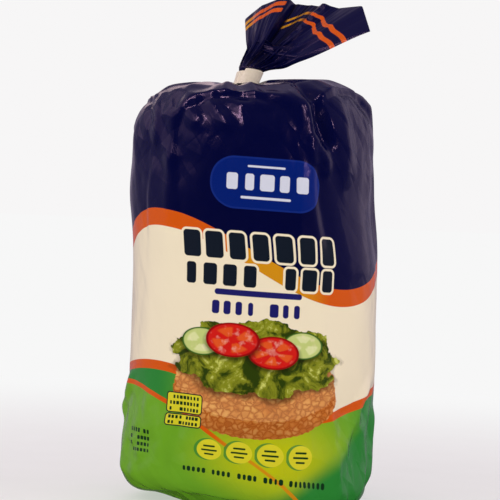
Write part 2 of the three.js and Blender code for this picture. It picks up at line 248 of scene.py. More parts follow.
def plainProfile(zone, level):  # radius and height without folds, and how much it faces out and up
    if zone == "wall":
        drop = np.maximum(0, body["footCorner"] - level) / body["footCorner"]
        out = np.sqrt(np.maximum(0, 1 - drop ** 2))
        return body["radius"] - body["footCorner"] * (1 - out), level, out, -drop
    power, square = 2 / shoulder["squareness"], shoulder["squareness"] - 1
    inward = np.maximum(0, np.cos(np.radians(level))) ** power
    upward = np.sin(np.radians(level)) ** power
    across = body["radius"] - shoulder["crestRadius"]
    tall = shoulder["crestHeight"] - body["wallTop"]
    out, up = inward ** square / across, upward ** square / tall
    size = np.hypot(out, up)
    radius, height = shoulder["crestRadius"] + across * inward, body["wallTop"] + tall * upward
    return radius, height, out / size, up / size


def facetPlanes():
    planes = []
    for zone in ("wall", "shoulder"):
        for row, (level, count) in enumerate(facets[zone]):
            for i in range(count):
                draws = [2 * unevenness(len(planes) + 1, k) - 1 for k in range(4)]
                place = (i + 0.5 * (row % 2) + facets["spread"] * draws[0]) * 360 / count
                radius, height, out, up = plainProfile(zone, level)
                pitch = math.atan2(up, out) + math.radians(facets["turn"] * draws[1])
                normal = onRing(place + facets["turn"] * draws[2], math.cos(pitch), math.sin(pitch))
                centre = onRing(place, radius, height)
                planes.append((normal, centre @ normal - facets["inset"] + facets["uneven"] * draws[3]))
    return planes


planes = facetPlanes()


def facetRise(azimuth, zone, level):  # how far the facets stand out of the plain profile
    radius, height, out, up = plainProfile(zone, level)
    a = np.radians(azimuth)
    point = onRing(azimuth, radius, height)
    facing = np.stack(np.broadcast_arrays(out * np.sin(a), -out * np.cos(a), up), axis=-1)
    total = np.zeros(a.shape)
    for normal, offset in planes:
        along = facing @ normal
        gap = np.where(along > 0.6, (offset - point @ normal) / np.maximum(along, 0.6), 99)
        total += np.exp(-np.minimum(gap, 9) / facets["round"])
    rise = np.clip(-facets["round"] * np.log(total), -facets["reach"], facets["reach"])
    return rise * (1 - facets["flatter"] * window(height, *facets["flatterAt"])), out, up


def liftAt(azimuth, radius, height):  # the drawn-up corner of the foot
    reach = smooth(radius, body["flatRadius"], body["radius"] - body["footCorner"])
    reach = reach * (1 - smooth(height, *body["liftFade"]))
    return body["lift"] * bump(wrap(azimuth - body["liftAzimuth"]), 0, body["liftWidth"]) * reach


def bulgeAt(height):
    return body["bulge"] * bump(height, body["bulgeHeight"], body["bulgeReach"])


def wallPoint(azimuth, height):
    loose = body["footSpread"] * (1 - smooth(height, body["footTop"] * 0.5, body["footTop"]))
    loose = loose + bulgeAt(height)
    radius = plainProfile("wall", height)[0]
    rise, out, up = facetRise(azimuth, "wall", height)
    settle = smooth(height, 0, body["footCorner"])
    folds = creaseRise(azimuth, height) + finRise(azimuth) + ripple(azimuth, height)
    return onRing(azimuth, radius + loose + settle * (folds + rise * out),
                  height + settle * rise * up + liftAt(azimuth, radius, height), shiftAt(height))


def shoulderPoint(azimuth, angle):
    radius, plain = plainProfile("shoulder", angle)[:2]
    rise, outward, up = facetRise(azimuth, "shoulder", angle)
    inward = (radius - shoulder["crestRadius"]) / (body["radius"] - shoulder["crestRadius"])
    upward = (plain - body["wallTop"]) / (shoulder["crestHeight"] - body["wallTop"])
    lobe = shoulder["lobeRise"] * bump(wrap(azimuth - shoulder["lobeAzimuth"]), 0, shoulder["lobeWidth"])
    height = plain + lobe * upward * (shoulder["lobeCrest"] + inward)
    folds = creaseRise(azimuth, height) + finRise(azimuth) * inward + (
        gather["depth"] * pleat(azimuth) * smooth(upward, gather["from"], 1))
    out = (folds + ripple(azimuth, height)) * lerp(shoulder["foldCrest"], 1, inward) + bulgeAt(plain)
    return onRing(azimuth, radius + out + rise * outward,
                  height + folds * upward * shoulder["foldUp"] + rise * up,
                  neckCentre(neck["foot"])[0] * (1 - inward))


def neckCentre(height):  # the neck leans to the right and back
    rise = height - neck["foot"]
    return np.array((neck["x"] + neck["leanRight"] * rise, neck["leanBack"] * rise, height))


def neckRing(azimuth, radius, height):
    a = np.radians(azimuth)
    x, y = radius * np.sin(a), -radius * np.cos(a)
    tilt = -neck["tilt"] * x - neck["leanBack"] * y
    return neckCentre(height) + np.stack(np.broadcast_arrays(x, y, tilt), axis=-1)


def neckPoint(azimuth, height):
    spread = smooth(height, neck["tieTop"], neck["top"])
    ridge = neck["ridge"] * pleat(azimuth) * (1 - spread)
    return neckRing(azimuth, neck["radius"] + neck["flare"] * spread + ridge, float(np.max(height)))


def funnelPoint(azimuth, share):
    crest = shoulderPoint(azimuth, 90 + 0 * azimuth)
    foot = neckPoint(azimuth, neck["foot"])
    point = lerp(crest, foot, share[..., None])
    point[..., 2] = lerp(crest[..., 2], foot[..., 2], share ** neck["funnelDip"])
    return point


def fanMiddle(across, out):  # from the neck's top out to the rim, across from left to right
    stations = [corner[0] for corner in fan["rim"]]
    rim = [np.interp(across, stations, [corner[i] for corner in fan["rim"]]) for i in (1, 2, 3)]
    droop = fan["droop"] * across ** 3 * window(out, *fan["droopAt"])
    return np.stack((rim[0] * out, rim[1] * out ** fan["backCurve"], rim[2] * out - droop), axis=-1)


def unit(vector):
    return vector / np.maximum(1e-9, np.linalg.norm(vector, axis=-1, keepdims=True))


def fanFold(across, out):  # how far forward the film lies: two panels, a pleated recess between
    down = smooth(across, fan["recessFrom"], fan["recessFrom"] + fan["foldWidth"])
    up = smooth(across, fan["rightFrom"], fan["rightFrom"] + fan["foldWidth"])
    panel = lerp(fan["leftPanel"], fan["recess"], down) + (fan["rightPanel"] - fan["recess"]) * up
    wave = fan["pleats"] * across ** 0.85 + 0.3 * np.sin(7 * across + 1) + 0.15 * np.sin(19 * across)
    ridge = 2 * np.abs(2 * (wave - np.floor(wave)) - 1) - 1
    between = down * (1 - up)
    held = smooth(out, 0, 0.14) * (1 - (1 - 0.6 * between) * smooth(out, 0.25, 0.8))
    crumpled = np.sin(out * 40 + across * 30) * (
        bump(across, fan["crumpleAt"], fan["crumpleWidth"]) * smooth(out, *fan["crumpleFrom"]))
    return panel * smooth(out, 0.02, 0.6) + fan["pleatDepth"] * (ridge * held + crumpled)


def fanPoint(azimuth, out, inside=0):
    turn = np.radians(azimuth)
    even = np.abs(wrap(azimuth + 90)) / 180
    across = np.clip(lerp((1 + np.sin(turn)) / 2, even, smooth(out, 0, 0.3)), 0, 1)
    step = 0.01
    reach = np.maximum(out, 0.2)
    right, left = np.minimum(1, across + step), np.maximum(0, across - step)
    sideways = fanMiddle(right, reach) - fanMiddle(left, reach)
    outward = fanMiddle(across, np.minimum(1, out + step)) - fanMiddle(across, np.maximum(0, out - step))
    normal = unit(np.cross(sideways, outward))
    normal = unit(lerp(np.array((0, -1.0, 0)), normal, smooth(out, 0, 0.25)[..., None]))
    mouth = neck["radius"] + neck["flare"]
    thick = lerp(mouth * 0.7, fan["halfThickness"], smooth(out, 0, 0.2)) - inside * fan["filmThickness"]
    side = np.sign(np.cos(turn)) * np.abs(np.cos(turn)) ** lerp(1, 0.35, smooth(out, 0, 0.4))
    ring = neckRing(azimuth, mouth, neck["top"]) - neckCentre(neck["top"])
    flat = normal * (thick * side)[..., None]
    flat[..., 0] += mouth * np.sin(turn) * (1 - smooth(out, 0, 0.45))
    offset = lerp(ring, flat, smooth(out, 0, 0.16)[..., None])
    fold = normal * np.array((1, 1, 0.4)) * fanFold(across, out)[..., None]
    return neckCentre(neck["top"]) + fanMiddle(across, out) + offset + fold


# The film as one sheet, rolled into a tube: a row for each ring from the middle of the
# bottom to the fan's rim, then back down inside its open mouth

filmSheet = {
    "around": 288, "bottomRows": 12, "cornerRows": 14, "wallRows": 116, "shoulderRows": 52,
    "funnelRows": 20, "neckRows": 10, "fanRows": 52, "insideRows": 18, "insideDepth": 0.62,
    "measuredAt": -150.0,  # azimuth where the film's length is added up
}


def filmRows():
    sheet = filmSheet
    flat = body["radius"] + body["footSpread"] - body["footCorner"]
    rows = []

    def add(zone, count, values):
        rows.extend((zone, float(value)) for value in values[:count])

    add("bottom", sheet["bottomRows"], np.linspace(0, flat, sheet["bottomRows"] + 1))
    corner = np.linspace(0, math.pi / 2, sheet["cornerRows"] + 1)
    add("wall", sheet["cornerRows"], body["footCorner"] * (1 - np.cos(corner)))
    add("wall", sheet["wallRows"], np.linspace(body["footCorner"], body["wallTop"], sheet["wallRows"] + 1))
    add("shoulder", sheet["shoulderRows"], np.linspace(0, 90, sheet["shoulderRows"] + 1))
    add("funnel", sheet["funnelRows"], np.linspace(0, 1, sheet["funnelRows"] + 1))
    add("neck", sheet["neckRows"], np.linspace(neck["foot"], neck["top"], sheet["neckRows"] + 1))
    add("fan", sheet["fanRows"] + 1, np.linspace(0, 1, sheet["fanRows"] + 1) ** 1.1)
    add("inside", sheet["insideRows"], np.linspace(1, 1 - sheet["insideDepth"], sheet["insideRows"]))
    return rows


def bottomPoint(azimuth, radius):
    return onRing(azimuth, radius, liftAt(azimuth, radius, 0), shiftAt(0))


def insidePoint(azimuth, out):
    return fanPoint(azimuth, out, inside=1.0)


def filmPoints(rows, azimuth):
    place = {
        "bottom": bottomPoint, "wall": wallPoint, "shoulder": shoulderPoint, "funnel": funnelPoint,
        "neck": neckPoint, "fan": fanPoint, "inside": insidePoint,
    }
    points = np.array([place[zone](azimuth, np.full(azimuth.shape, value)) for zone, value in rows])
    last = points[-1]  # the mouth's floor: the two inner faces meet
    points[-1] = (last + last[::-1]) / 2
    return points


def filmLengths(rows):
    # length along the film from the wall's foot, which is also the height on the wall
    measured = filmPoints(rows, np.array([filmSheet["measuredAt"]]))[:, 0]
    lengths = np.concatenate(([0], np.cumsum(np.linalg.norm(np.diff(measured, axis=0), axis=1))))
    zones = [zone for zone, _ in rows]
    wall = zones.index("wall") + filmSheet["cornerRows"]
    lengths += body["footCorner"] - lengths[wall]
    first = zones.index("fan")
    fanStart = lengths[first - 1] + 1
    lengths[first:] = [fanStart + fan["length"] * out for _, out in rows[first:]]
    return lengths, fanStart, zones.index("inside") - 1


# How slack the film is along its length, for its small folds and dents: slack at shoulder
# and foot, tight between them, less at the crest and none at both ends
slack = {
    "shoulder": (122, 150), "foot": (36, 52), "crest": (158, 178), "tight": 0.26, "crestLess": 0.8,
    "ends": ((3, 12), (205, 218)),
}
crumple = {
    "seed": 11,
    # zone: how many, lowest and highest film length, tilt from upright, length, rise, flank
    "shoulder": (28, 122, 192, 24, (12, 30), (0.15, 0.4), (2.6, 5)),
    "wall": (50, 40, 135, 22, (15, 45), (0.05, 0.16), (3, 8)),
    "foot": (60, 4, 48, 60, (8, 24), (0.12, 0.38), (2.2, 5)),
}


def crumpleRise(across, length):  # small sharp creases in the film, more of them at its ends
    rng = np.random.default_rng(crumple["seed"])
    total = np.zeros(across.shape)
    girth = 2 * math.pi * body["radius"]
    for zone in ("shoulder", "wall", "foot"):
        count, low, high, tilt, reach, rises, flanks = crumple[zone]
        for _ in range(count):
            x = rng.uniform(-girth / 2, girth / 2)
            y = low + (high - low) * rng.uniform() ** (0.8 if zone == "shoulder" else 1)
            angle = math.radians(rng.normal(0, tilt))
            half = rng.uniform(*reach) / 2
            rise = rng.uniform(*rises) * rng.choice((1, 1, -1))
            flank = rng.uniform(*flanks)
            side = rng.uniform(0.4, 1)
            dx = (across - x + girth / 2) % girth - girth / 2
            dy = length - y
            along = np.abs(dx * math.sin(angle) + dy * math.cos(angle)) / half
            off = dx * math.cos(angle) - dy * math.sin(angle)
            reachOff = np.where(off > 0, flank, flank * side)
            total += rise * tent(off, reachOff) * np.maximum(0, 1 - along ** 2)
    return total


# Dents: flat faces that lean against each other, shallow where the film is tight on the cakes
dents = {
    "around": 24, "tall": 26, "lean": 0.14, "depth": 1.5, "round": 0.12, "middle": 0.5,
    "calm": (34, 156), "calmSize": (9, 14),  # no dents at the deep fold
}


def looseness(length):
    loose = smooth(length, *slack["shoulder"]) + 1 - smooth(length, *slack["foot"])
    loose = np.minimum(1, loose * (1 - slack["tight"]) + slack["tight"])
    return loose * (1 - slack["crestLess"] * smooth(length, *slack["crest"]))


def dentRise(across, length):
    wide = 2 * math.pi * body["radius"] / dents["around"]
    u, v = (across + length * dents["lean"]) / wide, length / dents["tall"]
    total = np.zeros(np.broadcast(u, v).shape)
    for i in (-1, 0, 1):
        for k in (-1, 0, 1):
            column, row = np.floor(u) + i, np.floor(v) + k
            du, dv = (unevenness(column % dents["around"], row + shift) for shift in (0.2, 31.7))
            total += np.exp(-(np.abs(u - column - du) + np.abs(v - row - dv)) / dents["round"])
    (x, y), (calmWide, calmTall) = dents["calm"], dents["calmSize"]
    calm = bump(across, x, calmWide) * bump(length, y, calmTall)
    depth = dents["depth"] * looseness(length) * (1 - calm)
    return depth * (-dents["round"] * np.log(total) - dents["middle"])


def makeFilm():
    sheet = filmSheet
    rows = filmRows()
    nothingSelected()
    bpy.ops.mesh.primitive_grid_add(x_subdivisions=sheet["around"], y_subdivisions=len(rows) - 1, size=1)
    film = bpy.context.object
    film.name = "filmBag"
    mesh = film.data
    count = len(mesh.vertices)
    place = np.empty(count * 3, np.float32)
    mesh.vertices.foreach_get("co", place)
    place = place.reshape(-1, 3)
    column = np.rint((place[:, 0] + 0.5) * sheet["around"]).astype(int)
    row = np.rint((place[:, 1] + 0.5) * (len(rows) - 1)).astype(int)

    azimuth = -180 + 360 * np.arange(sheet["around"] + 1) / sheet["around"]
    points = filmPoints(rows, azimuth)
    lengths, fanStart, rim = filmLengths(rows)
    across = np.broadcast_to(np.radians(azimuth) * body["radius"], points.shape[:2])
    along = np.broadcast_to(lengths[:, None], points.shape[:2])
    normal = unit(np.cross(np.gradient(points, axis=1), np.gradient(points, axis=0)))
    normal[:, 0] = normal[:, -1] = unit(normal[:, 0] + normal[:, -1])
    rise = (crumpleRise(across, along) + dentRise(across, along)) * window(along, *slack["ends"])
    points += normal * rise[..., None]
    points[:, -1] = points[:, 0]
    points[..., 2] = np.maximum(points[..., 2], 0)

    low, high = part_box("bag")
    middle = points[:rim + 1].reshape(-1, 3)
    shift = (np.array(low + high) / 2 / mm - (middle.max(0) + middle.min(0)) / 2) * np.array((1, 1, 0))
    placed = (points[row, column] + shift) * mm
    mesh.vertices.foreach_set("co", placed.astype(np.float32).ravel())

    # the sheet's own map: across the film from seam to seam, and along it
    span = lengths.max() - lengths.min()
    loops = np.empty(len(mesh.loops), int)
    mesh.loops.foreach_get("vertex_index", loops)
    up = (lengths[row[loops]] - lengths.min()) / span
    flat = np.stack((column[loops] / sheet["around"], up), axis=-1)
    mesh.uv_layers[0].name = "film"
    mesh.uv_layers[0].data.foreach_set("uv", flat.astype(np.float32).ravel())

    closeSeam()
    bpy.ops.object.shade_smooth_by_angle(angle=math.radians(60))
    print("film:", len(mesh.polygons), "faces, length", round(float(span), 1), "mm")
    return film, lengths, fanStart, shift


# Shader sums as plain expressions

class Signal:
    def __init__(self, paint, socket):
        self.paint, self.socket = paint, socket

    def math(self, operation, *others, clamp=False):
        values = dict(enumerate((self, *others)))
        return self.paint.node("ShaderNodeMath", {"operation": operation, "use_clamp": clamp}, values)

    def __add__(self, other): return self.math("ADD", other)
    def __radd__(self, other): return self.math("ADD", other)
    def __sub__(self, other): return self.math("SUBTRACT", other)
    def __rsub__(self, other): return self.paint.value(other).math("SUBTRACT", self)
    def __mul__(self, other): return self.math("MULTIPLY", other)
    def __rmul__(self, other): return self.math("MULTIPLY", other)
    def __truediv__(self, other): return self.math("DIVIDE", other)
    def __pow__(self, other): return self.math("POWER", other)
    def __abs__(self): return self.math("ABSOLUTE")
    def sin(self): return self.math("SINE")
    def cos(self): return self.math("COSINE")
    def floor(self): return self.math("FLOOR")
    def least(self, other): return self.math("MINIMUM", other)
    def most(self, other): return self.math("MAXIMUM", other)
    def clip(self): return self.math("ADD", 0.0, clamp=True)


class Paint:  # the node tree of one material, or of the world
    def __init__(self, owner, ending="ShaderNodeOutputMaterial"):
        owner.use_nodes = True
        self.owner, self.tree = owner, owner.node_tree
        self.tree.nodes.clear()
        self.output = self.tree.nodes.new(ending)

    def plug(self, socket, value):
        if isinstance(value, Signal):
            self.tree.links.new(value.socket, socket)
        elif isinstance(value, bpy.types.NodeSocket):
            self.tree.links.new(value, socket)
        else:
            socket.default_value = value

    def node(self, kind, settings=None, inputs=None, output=0):
        made = self.tree.nodes.new(kind)
        for key, value in (settings or {}).items():
            setattr(made, key, value)
        for key, value in (inputs or {}).items():
            self.plug(made.inputs[key], value)
        return Signal(self, made.outputs[output])

    def value(self, number):
        return self.node("ShaderNodeMath", {"operation": "ADD"}, {0: number, 1: 0.0})

    def over(self, base, colour, mask):  # colour laid over base where the mask is 1
        return self.node("ShaderNodeMix", {"data_type": "RGBA"}, {0: mask, 6: base, 7: colour}, output=2)

    def step(self, x, low, high):  # 0 below low, 1 above high, smooth between
        return self.node("ShaderNodeMapRange", {"interpolation_type": "SMOOTHSTEP"},
                         {"Value": x, "From Min": low, "From Max": high})

    def window(self, x, rise, fall):  # 1 from the end of the rise to the start of the fall
        return self.step(x, *rise) * (1 - self.step(x, *fall))

    def noise(self, vector, scale, detail=2.0, rough=0.5, twist=0.0):
        return self.node("ShaderNodeTexNoise", {}, {
            "Vector": vector, "Scale": scale, "Detail": detail, "Roughness": rough, "Distortion": twist})

    def vector(self, x, y, z=0.0):
        return self.node("ShaderNodeCombineXYZ", {}, {0: x, 1: y, 2: z})

    def shader(self, **inputs):
        surface = self.node("ShaderNodeBsdfPrincipled", {}, inputs)
        self.plug(self.output.inputs["Surface"], surface)
        return surface


# The print, in millimetres on the film: x across from the front's middle, y up from the foot

printing = {"slope": 2.0, "edge": 0.18, "repeat": 157}
inks = {
    "navy": (3, 6, 51), "cream": (236, 225, 197), "orange": (207, 85, 8), "gold": (205, 140, 16),
    "darkGreen": (42, 130, 50), "leafGreen": (106, 164, 36), "limeGreen": (184, 191, 16),
    "blue": (4, 30, 110), "plateRim": (16, 40, 120), "plateBars": (206, 210, 226),
    "yellow": (212, 206, 40), "badgeBars": (20, 60, 26), "marks": (18, 52, 26),
    # the darkest navy on the next line is painted shade for the fan's gathered recess
    "ink": (20, 28, 40), "softInk": (30, 30, 100), "paintedFoldShade": (3, 3, 16),
    "cakeTan": (206, 128, 52), "cakePale": (232, 178, 100), "cakeToast": (192, 98, 26),
    "cakeGap": (182, 98, 34), "cakeDeep": (138, 64, 16), "cakeSide": (150, 82, 30),
    "cakeTop": (246, 202, 140), "leafFold": (44, 62, 10), "leafFace": (132, 139, 30),
    "leafRib": (202, 208, 104), "leafShade": (70, 40, 14), "sliceShade": (30, 30, 8),
    "wetShine": (250, 226, 206), "redRind": (140, 8, 10), "redFlesh": (206, 28, 20),
    "redSeeds": (226, 96, 34), "paleRind": (52, 96, 26), "paleFlesh": (190, 204, 122),
    "paleSeeds": (222, 226, 170),
}
upperBand = {"middle": 100.8, "swing": 13.5, "crest": -40.8, "thickness": 6.8}
lowerBand = {"middle": 47.1, "swing": 8.5, "crest": -42.8, "skew": 0.35, "thickness": 3.6}
thinBand = {"middle": 8.5, "swing": 37.5, "crest": -62.8, "thickness": 1.9}
bandGold = {"x": 8, "from": 0.55, "to": 0.98}
limeGlow = {"x": 11, "y": 22, "across": 44, "up": 30}
greenFade = (-42, -16)  # where dark green turns to leaf green above the thin band
darkCorner = {"x": 54, "top": 34, "lean": 1.35, "fade": 16}
nameplate = {
    "x": 5.8, "y": 129.9, "width": 45, "height": 20.5, "corner": 10, "rim": 0.7, "innerCorner": 9.4,
    # bars under and over the row: how far up, width, height, corner
    "bars": ((-5.6, 20, 1.0, 0.5), (6.6, 15, 0.8, 0.4)),
}
# Rows of plain blocks: where they start and end, how many, the middle's height, the
# blocks' height, their least and most share of the pitch, and what differs in some rows
plateRow = {"span": (-11.2, 23.8), "count": 5, "y": 130.4, "height": 6.4, "wide": 0.84, "corner": 0.16,
            "seed": 4.4}
titleRows = (
    {"span": (-30, 35), "count": 7, "y": 105.0, "height": 10.4, "narrow": 0.52, "wide": 0.84,
     "corner": 0.14, "seed": 5.6},
    {"span": (-30, 34), "count": 8, "y": 93.5, "height": 8.4, "narrow": 0.52, "wide": 0.82,
     "corner": 0.15, "gaps": (4,), "seed": 2.3},
)
titleRim = 0.9
titleBar = (1.6, 86.9, 35, 2.3, 1.1)  # x, y, width, height, corner
subtitleRow = {"span": (-17.5, 19.5), "count": 8, "y": 80.9, "height": 5.2, "narrow": 0.4, "wide": 0.78,
               "corner": 0.2, "gaps": (4,), "seed": 1.9}
label = {
    "x": -27.5, "width": 16.6, "parts": ((41.9, 8.2), (35.1, 5.0)),
    "corner": 1.4, "rim": 0.45, "innerCorner": 1.0,
}
badges = {
    "first": -15.2, "pitch": 12.33, "count": 4, "y": 23.7, "radius": 5.2,
    "shade": (-0.9, 1.08, 0.8),  # how far left, how much wider, how strong
    "bars": ((2.1, 5), (0, 6.8), (-2.1, 4.2)), "barHeight": 0.9, "barCorner": 0.4,
}
smallRows = (
    {"span": (-34.5, -20.5), "count": 9, "y": 44.1, "lines": 3, "lead": 2.35, "height": 1.4,
     "wide": 0.85, "skip": 0.1, "seed": 4},
    {"span": (-34.5, -20.5), "count": 9, "y": 36.2, "lines": 2, "lead": 2.15, "height": 1.3,
     "wide": 0.85, "skip": 0.1, "seed": 6},
    {"span": (-58, -43), "count": 7, "y": 28.5, "lines": 4, "lead": 3.2, "height": 1.9,
     "wide": 0.84, "skip": 0.15, "seed": 9},
    {"span": (-26.5, 34), "count": 29, "y": 12.0, "height": 2.9, "wide": 0.86, "corner": 0.3,
     "gaps": (5, 10, 15, 20), "seed": 21},
)
dish = {
    # height, half width and half height of each oval
    "x": 2.0, "cake": (47.5, 35, 17.0), "top": (52.5, 34.2, 15.0), "leaf": (62, 34.5, 14.5),
    "grainScale": 0.38, "grainTall": 1.25, "grainWarp": 3.2, "toast": 0.7,
    "cakeRough": 1.6, "topPale": 0.15, "sideShade": 0.5, "leafShade": 0.75,
    "frill": 1.1, "frillMiddle": 61, "frillFlat": 0.4, "frillCount": 9.0, "frillDrift": 8.0,
    "frillRough": 2.4,
    # round slices: place across and up, radius, whether it's red, and how many chambers
    "slices": ((-20.5, 67, 8.8, False, 3), (20.5, 68, 8.6, False, 3),
               (8.5, 64.5, 10.4, True, 5), (-8, 68.5, 10.8, True, 4)),
    "slant": 0.62, "sliceShade": 0.7, "seedStrength": 0.75, "shine": 0.3,
}
fanStripes = {
    "at": (0.79, 0.89), "width": 0.04, "wider": 0.022,
    "hidden": ((0.315, 0.325), (0.365, 0.375)), "gold": ((0.33, 0.4), (0.5, 0.58)), "goldLeft": (0.02, 0.1),
    # shares of the way across between which the stripes climb or drop, and by how much
    "shifts": ((0.1, 0.3, 0.05), (0.33, 0.36, -0.2), (0.36, 0.54, 0.15), (0.55, 0.6, -0.05),
               (0.66, 0.86, -0.12), (0.88, 1.0, 0.07)),
    # where the painted shade lies in the gathered recess: across, up from the fan's start, and how dark
    "shadeAt": ((0.3, 0.36), (0.5, 0.62)), "shadeUp": (-6, 2), "shade": 0.85,
}
crinkle = {
    "depth": 1.5,  # in millimetres
    # each layer of facets: how far it is turned, how wide and tall they are, its share of the depth
    "layers": ((38, 10, 18, 0.5), (-24, 6, 12, 0.1)), "round": 0.06, "grain": 0.008,
    # the fan: where it starts, its pleats, how much of the facets goes, and its smoother right side
    "fanEdge": (-3, 4), "fan": 1.5, "facetsLess": 0.92, "smoothFrom": (0.5, 0.85), "smoother": 0.8,
}
filmFinish = {"grain": 260.0, "rough": 0.13, "grainRough": 0.08, "fanRough": 0.12, "ior": 1.28,
              "tint": (0.86, 0.76, 1, 1)}


def ink(name):
    return linear(*inks[name])


def within(distance, soft=None):  # 1 inside an outline and 0 outside it
    return (0.5 - distance / (soft or printing["edge"])).clip()


def roundedBox(dx, dy, halfWide, halfHigh, corner, grow=0.0):
    dx = (abs(dx) - (halfWide - corner)).most(0.0)
    dy = (abs(dy) - (halfHigh - corner)).most(0.0)
    return within((dx * dx + dy * dy) ** 0.5 - (corner + grow))


class FilmPrint:
    def __init__(self, paint, lengths):
        self.paint = paint
        place = paint.node("ShaderNodeUVMap", {"uv_map": "film"})
        split = paint.node("ShaderNodeSeparateXYZ", {}, {0: place})
        along = Signal(paint, split.socket.node.outputs[1])
        girth = 2 * math.pi * body["radius"]
        self.x = (split - 0.5) * girth
        turn = (self.x / body["radius"]).sin()
        self.across = turn.math("ARCSINE") / math.pi + 0.5  # from 0 to 1 across the fan
        self.length = along * float(lengths.max() - lengths.min()) + float(lengths.min())
        lean = body["radius"] * math.tan(math.radians(printing["slope"]))
        self.y = self.length + turn * lean
        self.grain = paint.noise(paint.vector(self.x * 0.1, self.y * 0.1), 3.0, 3.0)

    def lay(self, base, name, mask):  # the ink of that name over the base
        return self.paint.over(base, ink(name), mask)

    def below(self, level):  # 1 where the film is below that level
        return within(self.y - level)

    def wave(self, band):
        turn = (self.x - band["crest"]) * (2 * math.pi / printing["repeat"])
        if band.get("skew"):
            turn = turn + (1 - turn.cos()) * band["skew"]
        return turn.cos() * band["swing"] + band["middle"]

    def block(self, x, y, width, height, corner, px=None):
        return roundedBox((px or self.x) - x, self.y - y, width / 2, height / 2, corner)

    def disc(self, x, y, rx, ry=None, wobble=None, soft=None, px=None):
        ry = ry or rx
        dx = ((px or self.x) - x) / rx
        dy = (self.y - y) / ry
        distance = ((dx * dx + dy * dy) ** 0.5 - 1.0) * min(rx, ry)
        if wobble is not None:
            distance = distance + wobble
        return within(distance, soft)

    def blocks(self, row, grow=0.0):  # lines of plain blocks of uneven width
        row = {"narrow": 0.5, "corner": 0.22, "gaps": (), "skip": 0.0, "lines": 1, **row}
        start, end = row["span"]
        pitch = (end - start) / row["count"]
        cell = (self.x - start) / pitch
        index = cell.floor()
        seed = index * 1.37 + row["seed"]
        up = self.y - row["y"]
        if row["lines"] > 1:  # more lines, each lower by the lead
            line = (0.5 - up / row["lead"]).floor().most(0.0).least(row["lines"] - 1.0)
            up = up + line * row["lead"]
            seed = seed + line * 5.91
        chance = self.paint.node("ShaderNodeTexWhiteNoise", {"noise_dimensions": "1D"}, {"W": seed})
        half = (chance * (row["wide"] - row["narrow"]) + row["narrow"]) * (pitch / 2)
        mask = roundedBox((cell - index - 0.5) * pitch, up, half, row["height"] / 2,
                          row["height"] * row["corner"], grow)
        mask = mask * self.x.math("GREATER_THAN", start) * self.x.math("LESS_THAN", end)
        if row["skip"]:
            mask = mask * (chance * 3.77).math("FRACT").math("GREATER_THAN", row["skip"])
        for gap in row["gaps"]:
            mask = mask * abs(index - gap).math("GREATER_THAN", 0.5)
        return mask

    def bandColour(self):  # orange, turning to gold in the middle of each repeat
        turn = ((self.x - bandGold["x"]) * (2 * math.pi / printing["repeat"])).cos()
        gold = self.paint.step(turn, bandGold["from"], bandGold["to"])
        return self.lay(ink("orange"), "gold", gold)

    def greens(self):  # leaf green, lime in the middle and darker at the right of the foot
        paint = self.paint
        dx = (self.x - limeGlow["x"]) / limeGlow["across"]
        dy = (self.y - limeGlow["y"]) / limeGlow["up"]
        glow = 1 - paint.step((dx * dx + dy * dy) ** 0.5, 0.1, 1.0)
        green = self.lay(ink("leafGreen"), "limeGreen", glow)
        drop = (darkCorner["top"] - self.y).most(0.0)
        edge = darkCorner["x"] - drop * darkCorner["lean"]
        return self.lay(green, "darkGreen", paint.step((self.x - edge) / darkCorner["fade"], -0.5, 0.5))

    def ground(self):  # fields of colour, from the foot up
        paint = self.paint
        thinTurn = (self.x - thinBand["crest"]) / body["radius"]
        thin = thinTurn.cos() * thinBand["swing"] + thinBand["middle"]
        lower = self.wave(lowerBand)
        upper = self.wave(upperBand)
        green, band = self.greens(), self.bandColour()
        over = paint.over(ink("darkGreen"), green, paint.step(self.x, *greenFade))
        underLower = self.below(lower)
        ground = paint.over(ink("cream"), over, underLower)
        ground = paint.over(ground, band, self.below(thin + thinBand["thickness"]) * underLower)
        ground = paint.over(ground, green, self.below(thin) * underLower)
        half = lowerBand["thickness"] / 2
        ground = paint.over(ground, band, self.below(lower + half) * (1 - self.below(lower - half)))
        half = upperBand["thickness"] / 2
        ground = paint.over(ground, band, 1 - self.below(upper - half))
        return self.lay(ground, "navy", 1 - self.below(upper + half))

    def fanStripes(self, ground, fanStart):
        paint, across, stripes = self.paint, self.across, fanStripes
        gold = paint.window(across, *stripes["gold"]) + (1 - paint.step(across, *stripes["goldLeft"]))
        colour = self.lay(ink("orange"), "gold", gold)
        shown = 1 - paint.window(across, *stripes["hidden"])
        shift = paint.noise(paint.vector(self.x * 0.1, 0.0), 1.0) * 0.02 - 0.01
        for start, end, amount in stripes["shifts"]:
            shift = shift + paint.step(across, start, end) * amount
        place = (self.length - fanStart) / fan["length"] - shift
        half = (1 - paint.step(across, 0.3, 0.34)) * (stripes["wider"] / 2) + stripes["width"] / 2
        for at in stripes["at"]:
            mask = within((abs(place - at) - half) * fan["length"])
            ground = paint.over(ground, colour, mask * shown)
        # painted shade: near-black laid over the pleats of the gathered middle, where the recess gets
        # little light
        low, high = (fanStart + up for up in stripes["shadeUp"])
        inside = paint.window(across, *stripes["shadeAt"]) * paint.step(self.length, low, high)
        gathers = paint.step(paint.noise(paint.vector(across * 22, place * 0.8), 1.0, 1.0), 0.36, 0.6)
        return self.lay(ground, "paintedFoldShade", inside * gathers * stripes["shade"])

    def plate(self, ground):  # a plain plate with bars, where a maker's sign would be
        x, y, wide, high, rim = (nameplate[name] for name in ("x", "y", "width", "height", "rim"))
        ground = self.lay(ground, "plateRim", self.block(x, y, wide, high, nameplate["corner"]))
        inner = self.block(x, y, wide - 2 * rim, high - 2 * rim, nameplate["innerCorner"])
        ground = self.lay(ground, "blue", inner)
        ground = self.lay(ground, "plateBars", self.blocks(plateRow))
        for up, *bar in nameplate["bars"]:
            ground = self.lay(ground, "plateBars", self.block(x, y + up, *bar))
        return ground

